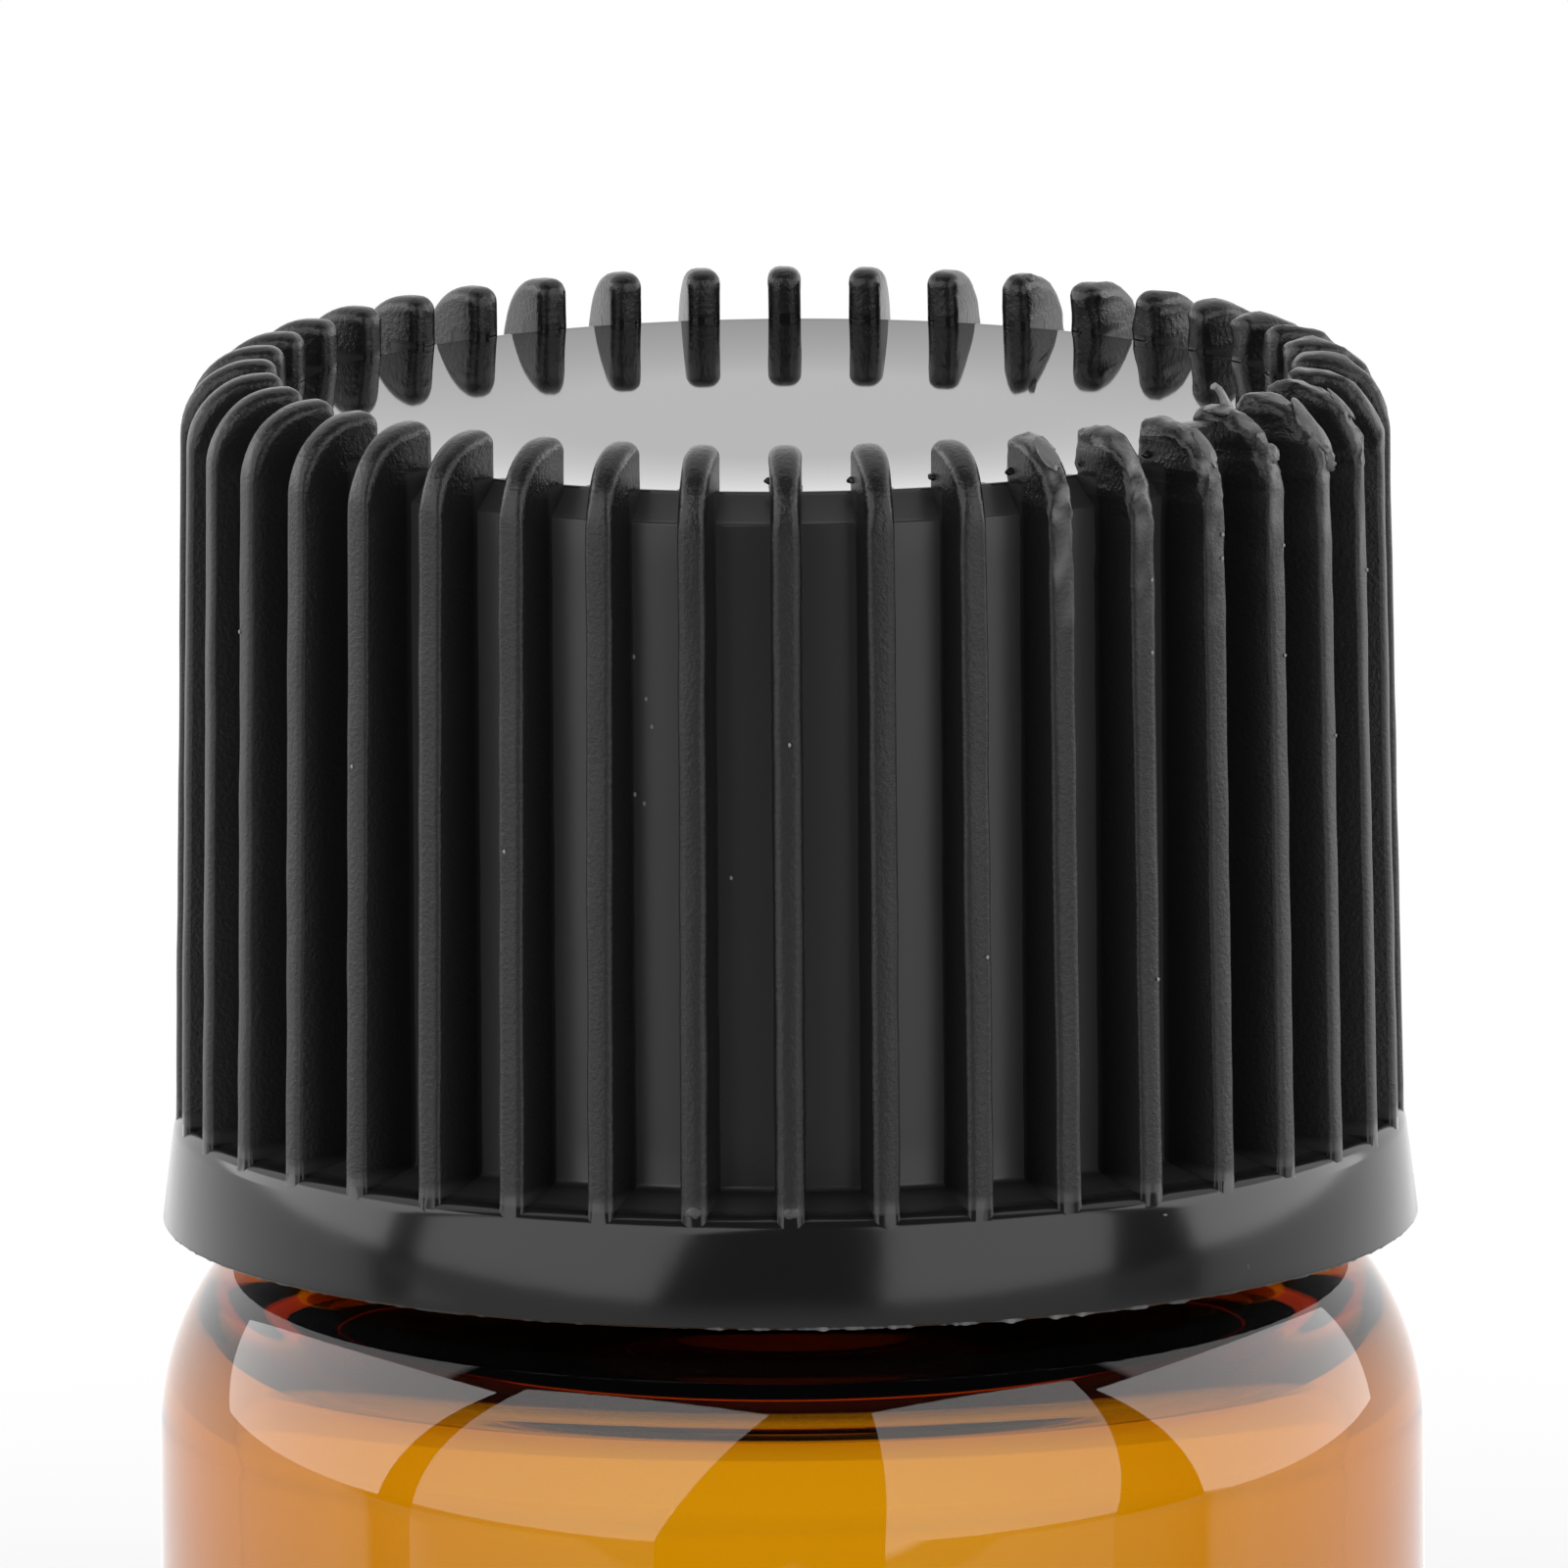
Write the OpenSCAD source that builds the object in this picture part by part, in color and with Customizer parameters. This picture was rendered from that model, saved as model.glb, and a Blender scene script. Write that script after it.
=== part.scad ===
// Amber glass sample vial with a ribbed screw cap and a foam liner.
// Units are millimetres. The vial stands on the XY plane with its axis on +Z,
// and the origin is the centre of its base. The cap is screwed down on the rim.

/* [Bottle body] */
// Outer diameter of the glass body
body_d = 16; // [14.5:0.1:24]
// Height from the base to the foot of the neck
body_h = 23.75; // [16:0.05:60]
// Thickness of the side wall
wall = 1; // [0.7:0.05:1.4]
// Thickness of the glass over the middle of the base
base_t = 1.3; // [0.9:0.05:2.5]
// Rise of the hollow under the base
push_up = 0.35; // [0.1:0.05:0.8]
// Radius of the hollow under the base
push_up_r = 5.4; // [4:0.1:6]
// Radius of the outside heel
heel_r = 1.5; // [0.8:0.1:1.8]
// Radius of the inside heel
inner_heel_r = 1.3; // [0.8:0.1:2]
// Radius of the shoulder where it leaves the side wall
shoulder_r = 3.45; // [2:0.05:4]
// Radius of the upper edge of the shoulder
shoulder_edge_r = 1; // [0.5:0.05:1.5]
// Part of the bend that the lower shoulder arc takes, in degrees
shoulder_turn = 37; // [20:1:60]
// Radius of the shoulder on the inside
inner_shoulder_r = 1.5; // [0.6:0.1:2.6]
// Thickness of the glass at the top of the shoulder
shoulder_t = 0.9; // [0.8:0.05:1.6]

/* [Bottle neck] */
// Height of the rim above the shoulder
neck_h = 8.7; // [8:0.1:14]
// Diameter over the thread
thread_d = 12; // [11:0.1:16]
// How far the thread stands out of the neck
thread_depth = 0.65; // [0.4:0.05:0.8]
// Rise of the thread in one turn
pitch = 2.1; // [1.7:0.05:2.8]
// Turns of thread on the neck
thread_turns = 1.75; // [1:0.25:2]
// Distance from the rim down to the middle of the upper end of the thread
thread_start = 1.6; // [1.2:0.1:2.5]
// Diameter of the bore through the neck
bore_d = 7.4; // [5:0.1:8.5]
// Radius of the outer edge of the rim
rim_r = 0.45; // [0.2:0.05:0.6]
// Radius of the inner edge of the rim
rim_inner_r = 0.3; // [0.1:0.05:0.5]
// Radius of the fillet between the shoulder and the neck
neck_foot_r = 0.4; // [0.2:0.05:0.8]
// Radius of the throat, where the bore opens into the body
throat_r = 0.5; // [0.3:0.1:1.2]

/* [Cap] */
// Thickness of the cylindrical wall of the cap
cap_wall = 0.7; // [0.5:0.05:1]
// Thickness of the flat top of the cap
top_t = 0.93; // [0.7:0.01:1.5]
// How far the middle of the top sinks below its edge
top_dish = 0.12; // [0.02:0.01:0.3]
// Width of the bevel around the flat top
top_bevel = 0.4; // [0.2:0.05:0.5]
// Height of the bevel around the flat top
top_bevel_h = 0.3; // [0.2:0.05:0.5]
// Number of grip ribs
rib_count = 40; // [24:1:48]
// Thickness of a rib at its outer face
rib_t = 0.34; // [0.25:0.01:0.5]
// Thickness of a rib where it leaves the wall
rib_root_t = 0.42; // [0.3:0.01:0.6]
// How far a rib stands out of the wall, just above the band
rib_depth = 0.93; // [0.6:0.01:1.2]
// How much less a rib stands out at the top than at the band
rib_lean = 0.15; // [0:0.01:0.25]
// Height of the ribs above the flat top
rib_rise = 0.62; // [0.3:0.01:1]
// Radius of the outer top corner of a rib
rib_corner_r = 0.95; // [0.5:0.05:1]
// Radius of the inner top corner of a rib
rib_inner_r = 0.2; // [0.1:0.05:0.3]
// How far a rib runs in over the flat top
rib_lap = 0.05; // [0.04:0.01:0.3]
// Height of the band at the open end
band_h = 1.4; // [1:0.05:3]
// How far the lower edge of the band stands out past the ribs
band_lip = 0.16; // [0.05:0.01:0.5]
// How far the upper edge of the band stands out past the ribs
band_step = 0.02; // [0.01:0.01:0.04]
// Radius of the upper edge of the band
band_edge_r = 0.28; // [0.1:0.01:0.4]
// Rise of the sloping ledge between the band and the wall
ledge_rise = 0.17; // [0.05:0.01:0.5]
// Width of the lead-in at the mouth of the cap
mouth_bevel = 0.3; // [0.1:0.05:0.5]
// Turns of thread inside the cap
cap_thread_turns = 1.5; // [1:0.25:2]

/* [Liner] */
// Thickness of the foam liner
liner_t = 1; // [0.6:0.1:2]
// Radius of the soft edges of the liner
liner_edge_r = 0.12; // [0.05:0.01:0.2]

/* [Fits] */
// Radial gap between the thread crests and the wall that they face
thread_gap = 0.15; // [0.1:0.01:0.3]
// Gap along the axis between the bearing flanks of the two threads
flank_gap = 0.1; // [0.05:0.01:0.2]
// Gap between the shoulder and the lower edge of the closed cap
cap_gap = 0.25; // [0.2:0.05:1]
// Radial gap around the liner
liner_gap = 0.1; // [0.05:0.01:0.2]

/* [Hidden] */
$fn = 96;

// Short steps that stand for a round edge or corner
arc_steps = 8;
// Steps in one turn of thread
turn_steps = 36;
// Steps over which a thread fades into its wall
fade_steps = 3;
// How deep a thread or a rib is rooted in its wall
root = 0.3;
// How far a rib reaches down into the band, under the band's round edge
rib_seat = 0.1;
// How far the faded end of a thread lies under the surface
fade_depth = 0.06;
// Width of a thread at its foot and at its crest, as a part of the pitch
foot_share = 0.58;
crest_share = 0.22;
// Height of the widest part of a rounded crest, as a part of the depth
crest_shoulder = 0.72;

amber = [0.72, 0.4, 0.05, 0.6];
black_plastic = [0.11, 0.11, 0.12];
foam_white = [0.93, 0.93, 0.9];

// Radii and heights of the bottle
body_r = body_d / 2;
inner_r = body_r - wall;
bore_r = bore_d / 2;
neck_r = thread_d / 2 - thread_depth;
rim_z = body_h + neck_h;
shoulder_room = body_r - neck_r - neck_foot_r;
lower_r = min(shoulder_r, shoulder_edge_r
    + (shoulder_room - shoulder_edge_r) / (1 - cos(shoulder_turn)));
edge_x = body_r - lower_r + (lower_r - shoulder_edge_r) * cos(shoulder_turn);
edge_z = body_h - shoulder_edge_r;
lower_z = edge_z - (lower_r - shoulder_edge_r) * sin(shoulder_turn);
floor_r = inner_r - inner_heel_r;
ceiling_z = body_h - shoulder_t;
ceiling_r = min(inner_shoulder_r, inner_r - bore_r - throat_r);

// Radii and heights of the cap
cap_z = body_h + cap_gap;
cap_bore_r = thread_d / 2 + thread_gap;
cap_r = cap_bore_r + cap_wall;
ceiling_cap_z = rim_z + liner_t;
top_z = ceiling_cap_z + top_t;
rib_r = cap_r + rib_depth;
rib_top_z = top_z + rib_rise;
rib_foot_z = cap_z + band_h - band_edge_r - rib_seat;
band_r = rib_r + band_lip;
flat_r = cap_r - top_bevel;

// Thread sections, and the place of the cap's thread under the bottle's: it
// lies midway between two turns, then rises until the flanks nearly bear
foot_w = foot_share * pitch;
crest_w = crest_share * pitch;
thread_z = rim_z - thread_start - thread_turns * pitch;
flank_slope = (foot_w - crest_w) / 2 / (thread_depth * crest_shoulder + root);
flank_room = pitch / 2 - foot_w + flank_slope * (thread_depth + thread_gap + 2 * root);
cap_thread_z = thread_z - pitch / 2 + flank_room - flank_gap;

// Points on a round edge about [x, z], from angle a to angle b
function arc(x, z, r, a, b) = [
    for (i = [0:arc_steps])
        let (t = a + (b - a) * i / arc_steps) [x + r * cos(t), z + r * sin(t)]
];

// Points across a shallow dome, from radius a to radius b. Its foot is at r.
function dome(r, z, rise, a, b) = [
    for (i = [0:arc_steps])
        let (x = a + (b - a) * i / arc_steps) [x, z + rise * (1 - pow(x / r, 2))]
];

// Half section of the bottle without its thread
function bottle_section() = concat(
    arc(body_r - heel_r, heel_r, heel_r, -90, 0),
    arc(body_r - lower_r, lower_z, lower_r, 0, shoulder_turn),
    arc(edge_x, edge_z, shoulder_edge_r, shoulder_turn, 90),
    arc(neck_r + neck_foot_r, body_h + neck_foot_r, neck_foot_r, 270, 180),
    arc(neck_r - rim_r, rim_z - rim_r, rim_r, 0, 90),
    arc(bore_r + rim_inner_r, rim_z - rim_inner_r, rim_inner_r, 90, 180),
    arc(bore_r + throat_r, ceiling_z + throat_r, throat_r, 180, 270),
    arc(inner_r - ceiling_r, ceiling_z - ceiling_r, ceiling_r, 90, 0),
    arc(floor_r, base_t + inner_heel_r, inner_heel_r, 0, -90),
    dome(floor_r, base_t, push_up, floor_r, 0),
    dome(push_up_r, 0, push_up, 0, push_up_r)
);

// Ridge that climbs around the axis. A positive depth stands out of a neck,
// and a negative depth stands into a bore. Both ends fade into the wall.
module thread_ridge(wall_r, depth, turns) {
    steps = ceil(turns * turn_steps);
    side = sign(depth);
    tall = abs(depth);
    section = [
        [-root, -foot_w / 2], [tall * crest_shoulder, -crest_w / 2],
        [tall, -crest_w / 4], [tall, crest_w / 4],
        [tall * crest_shoulder, crest_w / 2], [-root, foot_w / 2]
    ];
    sides = len(section);
    end_scale = (root - fade_depth) / (root + tall);
    points = [
        for (i = [0:steps])
            let (
                fade = min(1, i / fade_steps, (steps - i) / fade_steps),
                k = end_scale + (1 - end_scale) * fade,
                a = 360 * turns * i / steps
            )
            for (p = section)
                let (r = wall_r + side * (-root + (p[0] + root) * k))
                [r * cos(a), r * sin(a), p[1] + pitch * a / 360]
    ];
    strips = [
        for (i = [0:steps - 1], j = [0:sides - 1])
            let (
                p = i * sides + j,
                q = i * sides + (j + 1) % sides
            )
            each [[p, q, q + sides], [p, q + sides, p + sides]]
    ];
    first_end = [for (j = [1:sides - 2]) [0, j + 1, j]];
    last = steps * sides;
    last_end = [for (j = [1:sides - 2]) [last, last + j, last + j + 1]];
    faces = concat(strips, first_end, last_end);
    polyhedron(points, side > 0 ? faces : [for (f = faces) [f[0], f[2], f[1]]]);
}

// Amber glass bottle, moulded in one piece
module glass_vial() {
    color(amber) {
        rotate_extrude() polygon(bottle_section());
        translate([0, 0, thread_z])
            thread_ridge(neck_r, thread_depth, thread_turns);
    }
}

// Half section of the cap without its ribs and its thread
function cap_section() = concat(
    [[cap_bore_r + mouth_bevel, cap_z], [band_r, cap_z]],
    arc(rib_r + band_step - band_edge_r, cap_z + band_h - band_edge_r,
        band_edge_r, 0, 90),
    [
        [cap_r, cap_z + band_h + ledge_rise],
        [cap_r, top_z - top_bevel_h],
    ],
    dome(flat_r, top_z, -top_dish, flat_r, 0),
    [
        [0, ceiling_cap_z],
        [cap_bore_r, ceiling_cap_z],
        [cap_bore_r, cap_z + mouth_bevel]
    ]
);

// Side view of one rib, rooted in the band, the wall and the flat top
function rib_section() = concat(
    [
        [cap_r - root, rib_foot_z],
        [rib_r, rib_foot_z]
    ],
    arc(rib_r - rib_lean - rib_corner_r, rib_top_z - rib_corner_r,
        rib_corner_r, 0, 90),
    arc(flat_r - rib_lap + rib_inner_r, rib_top_z - rib_inner_r,
        rib_inner_r, 90, 180),
    [
        [flat_r - rib_lap, top_z - root],
        [cap_r - root, top_z - root - top_bevel_h]
    ]
);

// Plan of one rib, which narrows from the wall to its outer face
function rib_plan() = [
    [flat_r - root, -rib_root_t / 2], [cap_r, -rib_root_t / 2],
    [band_r, -rib_t / 2], [band_r, rib_t / 2],
    [cap_r, rib_root_t / 2], [flat_r - root, rib_root_t / 2]
];

module rib() {
    intersection() {
        rotate([90, 0, 0])
            linear_extrude(rib_root_t + root, center = true)
                polygon(rib_section());
        translate([0, 0, cap_z])
            linear_extrude(rib_top_z - cap_z + root)
                polygon(rib_plan());
    }
}

// Black screw cap, moulded in one piece, with one rib facing the front
module screw_cap() {
    color(black_plastic) {
        rotate_extrude() polygon(cap_section());
        for (i = [0:rib_count - 1])
            rotate([0, 0, i * 360 / rib_count - 90]) rib();
        translate([0, 0, cap_thread_z])
            thread_ridge(cap_bore_r, -thread_depth, cap_thread_turns);
    }
}

// Soft foam disc that lies against the ceiling of the cap and seals the rim
module cap_liner() {
    liner_r = cap_bore_r - liner_gap;
    color(foam_white)
        rotate_extrude()
            polygon(concat(
                [[0, rim_z]],
                arc(liner_r - liner_edge_r, rim_z + liner_edge_r, liner_edge_r, -90, 0),
                arc(liner_r - liner_edge_r, rim_z + liner_t - liner_edge_r,
                    liner_edge_r, 0, 90),
                [[0, rim_z + liner_t]]
            ));
}

glass_vial();
screw_cap();
cap_liner();
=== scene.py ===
# %% [markdown]
# # A sample vial with a ribbed screw cap
#
# The real thing is a small amber glass bottle, 16 mm across and 35 mm tall, shut
# by a black moulded cap with forty grip ribs and a foam disc inside.
# Its CAD model is already packed as a fixed frame of three parts. This lesson
# gives each part its looks: fine geometry first, then a material.
#
# Lengths are written in millimetres and turned into metres where a mesh is made,
# so that each number reads like one on a drawing.

# %% Load the frame
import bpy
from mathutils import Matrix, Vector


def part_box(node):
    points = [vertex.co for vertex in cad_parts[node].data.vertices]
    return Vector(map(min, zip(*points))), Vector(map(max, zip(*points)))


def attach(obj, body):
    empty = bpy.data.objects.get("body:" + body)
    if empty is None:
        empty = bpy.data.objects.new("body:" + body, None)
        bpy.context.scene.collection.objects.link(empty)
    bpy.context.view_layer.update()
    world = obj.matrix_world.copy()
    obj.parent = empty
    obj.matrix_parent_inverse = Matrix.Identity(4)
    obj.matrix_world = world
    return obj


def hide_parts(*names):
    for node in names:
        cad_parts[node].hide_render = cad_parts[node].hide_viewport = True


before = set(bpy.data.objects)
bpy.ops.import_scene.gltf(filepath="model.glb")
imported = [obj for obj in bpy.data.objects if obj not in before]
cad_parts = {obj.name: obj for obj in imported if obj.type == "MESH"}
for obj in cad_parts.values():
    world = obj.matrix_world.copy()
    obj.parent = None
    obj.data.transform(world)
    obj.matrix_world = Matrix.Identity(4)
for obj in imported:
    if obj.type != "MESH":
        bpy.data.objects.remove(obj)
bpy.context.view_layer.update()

# %% Tools and units
import math

import bmesh
import bpy
from mathutils import Matrix, Quaternion, Vector, noise

MM = 0.001


def corners(node):
    """Lowest and highest corners of a CAD part at rest, in millimetres."""
    return [tuple(value / MM for value in corner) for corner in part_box(node)]


vial_high = corners("glass_vial")[1]
cap_low, cap_high = corners("screw_cap")
liner_low, liner_high = corners("cap_liner")
print("The cap reaches from", round(cap_low[2], 2), "to", round(cap_high[2], 2), "mm")

# %% [markdown]
# ## The camera
#
# The picture was taken from a low angle with a long lens, so the cap's far ribs
# are hardly smaller than the near ones. A long lens is a small field of view seen
# from far away, and both come from the sizes of the near and far ribs.
# The camera also leans a little, which a roll about its own axis repeats.

# %% Camera
SENSOR = 36.0
FRAME_PIXELS = 1600
FOCAL_PIXELS = 56515
CAMERA_DISTANCE = 700.0
CAMERA_HEIGHT_ANGLE = math.radians(10.17)
CAMERA_ROLL = math.radians(-0.40)
aim = Vector((-0.0455, 0.0, 29.51))

camera_data = bpy.data.cameras.new("camera")
camera_data.sensor_width = SENSOR
camera_data.lens = SENSOR * FOCAL_PIXELS / FRAME_PIXELS
camera = bpy.data.objects.new("camera", camera_data)
bpy.context.scene.collection.objects.link(camera)
sight = Vector((0.0, math.cos(CAMERA_HEIGHT_ANGLE), -math.sin(CAMERA_HEIGHT_ANGLE)))
camera.location = (aim - sight * CAMERA_DISTANCE) * MM
turn = sight.to_track_quat("-Z", "Y") @ Quaternion((0, 0, 1), CAMERA_ROLL)
camera.rotation_euler = turn.to_euler()
bpy.context.scene.camera = camera
print("Lens of", round(camera_data.lens), "mm at", CAMERA_DISTANCE, "mm")

# %% [markdown]
# ## Helpers for turned parts
#
# The bottle, the cap and the liner are all round, so each starts as half a
# section that is spun about the Z axis, as on a lathe. Round corners are arcs in
# that section. A full spin leaves its last row on its first, so the rows are
# merged and the normals are worked out again.

# %% Arcs, lines and the lathe
def arc(x, z, radius, start, end, steps=8):
    """Points on a round corner about (x, z), from one angle to another."""
    angles = [math.radians(start + (end - start) * i / steps) for i in range(steps + 1)]
    return [(x + radius * math.cos(a), z + radius * math.sin(a)) for a in angles]


def line(start, end, gap):
    """Points inside a straight stretch, no more than gap apart."""
    count = max(1, math.ceil(math.dist(start, end) / gap))
    shares = [i / count for i in range(1, count)]
    return [tuple(a + (b - a) * s for a, b in zip(start, end)) for s in shares]


def dome(radius, z, rise, start, end, steps=24, flat=0.0):
    """Points across a shallow dome, or a dish where the rise is negative."""
    radii = [start + (end - start) * i / steps for i in range(steps + 1)]
    shares = [max(0.0, x - flat) / (radius - flat) for x in radii]
    return [(x, z + rise * (1 - share ** 2)) for x, share in zip(radii, shares)]


def lathe(outline, steps):
    """Spin half a section about the Z axis."""
    mesh = bmesh.new()
    points = [mesh.verts.new((x * MM, 0, z * MM)) for x, z in outline]
    edges = [mesh.edges.new(pair) for pair in zip(points, points[1:])]
    if outline[0][0] > 0:
        edges.append(mesh.edges.new((points[-1], points[0])))
    bmesh.ops.spin(mesh, geom=points + edges, axis=(0, 0, 1), cent=(0, 0, 0),
                   angle=math.tau, steps=steps, use_merge=True)
    bmesh.ops.remove_doubles(mesh, verts=mesh.verts, dist=1e-7)
    bmesh.ops.recalc_face_normals(mesh, faces=mesh.faces)
    return mesh


print("A quarter circle of 8 steps has", len(arc(0, 0, 1, 0, 90)), "points")


# %% Make objects and finished pieces
def new_object(name, mesh):
    """Turn a bmesh into an object in the scene."""
    data = bpy.data.meshes.new(name)
    mesh.to_mesh(data)
    mesh.free()
    made = bpy.data.objects.new(name, data)
    bpy.context.scene.collection.objects.link(made)
    return made


def smooth(data, crease):
    """Shade a mesh smooth, apart from edges that turn by more than a crease in degrees."""
    data.shade_smooth()
    data.set_sharp_from_angle(angle=math.radians(crease))


def finish_piece(name, mesh, body, node, crease):
    """A smooth piece that rides on its body and replaces its CAD part."""
    piece = new_object(name, mesh)
    smooth(piece.data, crease)
    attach(piece, body)
    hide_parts(node)
    print(name, "has", len(piece.data.polygons), "faces")
    return piece


# %% [markdown]
# ## The thread
#
# Cap and neck are held together by a coarse thread, 2.1 mm a turn. A thread could
# be a swept tube, but on moulded glass it melts into the neck with no seam.
# So the walls are divided into fine rows, and a function says how far each point
# stands out, from its angle and its height. The same function serves the neck and
# the inside of the cap, so the two always mesh.

# %% Thread
PITCH = 2.1
THREAD_DEPTH = 0.65
THREAD_HALF_FOOT = 0.46
THREAD_HALF_CREST = 0.12
THREAD_FADE = 0.09
ROW = 0.12


def clamp(value):
    """The value, kept between 0 and 1."""
    return max(0.0, min(1.0, value))


def ease(share):
    """Smooth step between 0 and 1."""
    share = clamp(share)
    return share * share * (3 - 2 * share)


def ridge(angle, z, foot_z, turns):
    """How far the thread stands out at one place, as a share of its depth."""
    height = 0.0
    for lap in range(math.ceil(turns)):
        turn_at = angle / math.tau + lap
        off = abs(z - foot_z - turn_at * PITCH)
        side = (THREAD_HALF_FOOT - off) / (THREAD_HALF_FOOT - THREAD_HALF_CREST)
        end = min(turn_at, turns - turn_at) / THREAD_FADE
        height = max(height, ease(side) * ease(end))
    return height


def raise_thread(mesh, wall_r, depth, foot_z, turns, low, high):
    """Push the points of one wall out along a helix, or in where depth is negative."""
    for vert in mesh.verts:
        x, y, z = vert.co / MM
        radius = math.hypot(x, y)
        if low < z < high and abs(radius - wall_r) < 1e-3:
            angle = math.atan2(y, x) % math.tau
            new_radius = radius + depth * ridge(angle, z, foot_z, turns)
            vert.co.xy *= new_radius / radius


print("Half a turn up, the crest stands at", round(ridge(math.pi, PITCH / 2, 0, 1), 2))

# %% [markdown]
# ## The glass bottle
#
# The bottle is one closed shell: the outside from the hollow base up to the rim,
# then the inside from the rim down to the floor. Glass looks right only when both
# walls are there, because light bends at each of them, and the colour comes from
# how much glass it crosses.
# The shoulder is two arcs, a wide one off the side wall and a tighter one under
# the neck. Its curve sets the shape of every reflection on it.

# %% Bottle sizes
body_r = vial_high[0]
rim_z = vial_high[2]
inner_r = body_r - 1.0
neck_r = 5.35
bore_r = 3.7
neck_foot_z = rim_z - 8.7
SHOULDER_LOW_R, SHOULDER_HIGH_R = 3.45, 1.0
SHOULDER_BEND = 37
edge_step = SHOULDER_LOW_R - SHOULDER_HIGH_R
edge_x = body_r - SHOULDER_LOW_R + edge_step * math.cos(math.radians(SHOULDER_BEND))
edge_z = neck_foot_z - SHOULDER_HIGH_R
wall_top_z = edge_z - edge_step * math.sin(math.radians(SHOULDER_BEND))
print("The straight side wall ends at", round(wall_top_z, 2), "mm")

# %% Outside of the bottle
HOLLOW_R = 5.4
HOLLOW_RISE = 0.35
FOOT_R = 1.5
NECK_FILLET = 0.4
RIM_ROUND = 0.45
WALL_ROW = 1.0
hollow = dome(HOLLOW_R, 0, HOLLOW_RISE, 0, HOLLOW_R)
outside = (
    arc(body_r - FOOT_R, FOOT_R, FOOT_R, -90, 0, 12)
    + line((body_r, FOOT_R), (body_r, wall_top_z), WALL_ROW)
    + arc(body_r - SHOULDER_LOW_R, wall_top_z, SHOULDER_LOW_R, 0, SHOULDER_BEND, 24)
    + arc(edge_x, edge_z, SHOULDER_HIGH_R, SHOULDER_BEND, 90, 12)[1:]
    + arc(neck_r + NECK_FILLET, neck_foot_z + NECK_FILLET, NECK_FILLET, 270, 180, 6)
    + line((neck_r, neck_foot_z + NECK_FILLET), (neck_r, rim_z - RIM_ROUND), ROW)
    + arc(neck_r - RIM_ROUND, rim_z - RIM_ROUND, RIM_ROUND, 0, 90, 8)
)
print("The outside has", len(outside), "points")

# %% Inside of the bottle
CORNER_R = 1.4
THROAT_R = 0.5
MOUTH_ROUND = 0.3
INSIDE_FOOT_R = 1.3
inside_floor_z = 1.3
ceiling_z = neck_foot_z - 1.05
foot_top_z = inside_floor_z + INSIDE_FOOT_R
foot_x = inner_r - INSIDE_FOOT_R
inside = (
    arc(bore_r + MOUTH_ROUND, rim_z - MOUTH_ROUND, MOUTH_ROUND, 90, 180, 6)
    + line((bore_r, rim_z - MOUTH_ROUND), (bore_r, ceiling_z + THROAT_R), WALL_ROW)
    + arc(bore_r + THROAT_R, ceiling_z + THROAT_R, THROAT_R, 180, 270, 10)
    + arc(inner_r - CORNER_R, ceiling_z - CORNER_R, CORNER_R, 90, 0, 16)
    + line((inner_r, ceiling_z - CORNER_R), (inner_r, foot_top_z), WALL_ROW)
    + arc(foot_x, foot_top_z, INSIDE_FOOT_R, 0, -90, 10)
    + dome(foot_x, inside_floor_z, HOLLOW_RISE, foot_x, 0)[1:]
)
print("The inside has", len(inside), "points")

# %% Bottle piece
NECK_TURNS = 1.75
thread_foot_z = rim_z - 1.6 - NECK_TURNS * PITCH
bottle = lathe(hollow + outside + inside, steps=240)
raise_thread(bottle, neck_r, THREAD_DEPTH, thread_foot_z, NECK_TURNS,
             low=neck_foot_z + 0.39, high=rim_z - 0.4)
vial = finish_piece("amber_vial", bottle, "vial", "glass_vial", 60)

# %% [markdown]
# ## The body of the cap
#
# Without its ribs the cap is a turned shape: a thin skirt with a thicker band at
# its mouth, a narrow bevel around the top and a top that sinks a little in the
# middle, as thick plastic does when it cools.
# Small arcs on every corner matter more than they seem to, because a corner with
# no radius never catches a highlight.

# %% Cap sizes
cap_z = cap_low[2]
rib_top_z = cap_high[2]
band_r = cap_high[0]
rib_r = band_r - 0.16
cap_bore_r = 6.15
cap_r = cap_bore_r + 0.7
top_z = rib_top_z - 0.62
flat_r = cap_r - 0.4
band_top_z = cap_z + 1.4
cap_ceiling_z = liner_high[2]
print("A rib stands", round(rib_r - cap_r, 2), "mm out of the skirt")

# %% Outside of the cap
EDGE_ROUND = 0.03
BAND_ROUND = 0.28
SKIRT_FILLET = 0.08
CORNER_ROUND = 0.05
BEVEL_DROP = 0.38
SINK = 0.14
SINK_R = 3.05
cap_outside = (
    [(cap_bore_r + 0.3, cap_z), (band_r - 2 * EDGE_ROUND, cap_z)]
    + arc(band_r - EDGE_ROUND, cap_z + EDGE_ROUND, EDGE_ROUND, -90, 0, 3)
    + arc(rib_r + 0.02 - BAND_ROUND, band_top_z - BAND_ROUND, BAND_ROUND, 8, 90, 8)
    + arc(cap_r + SKIRT_FILLET, band_top_z + 0.17 + 0.06, SKIRT_FILLET, 262, 180, 5)
    + line((cap_r, band_top_z + 0.25), (cap_r, top_z - BEVEL_DROP), 0.5)
    + arc(cap_r - CORNER_ROUND, top_z - BEVEL_DROP, CORNER_ROUND, 0, 70, 4)
    + [(cap_r - 0.06, top_z - 0.31)]
    + arc(flat_r - 0.02, top_z - CORNER_ROUND, CORNER_ROUND, 40, 88, 5)
    + dome(flat_r, top_z, -SINK, flat_r - CORNER_ROUND, 0, 48, flat=SINK_R)
)
print("The outside has", len(cap_outside), "points")

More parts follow.
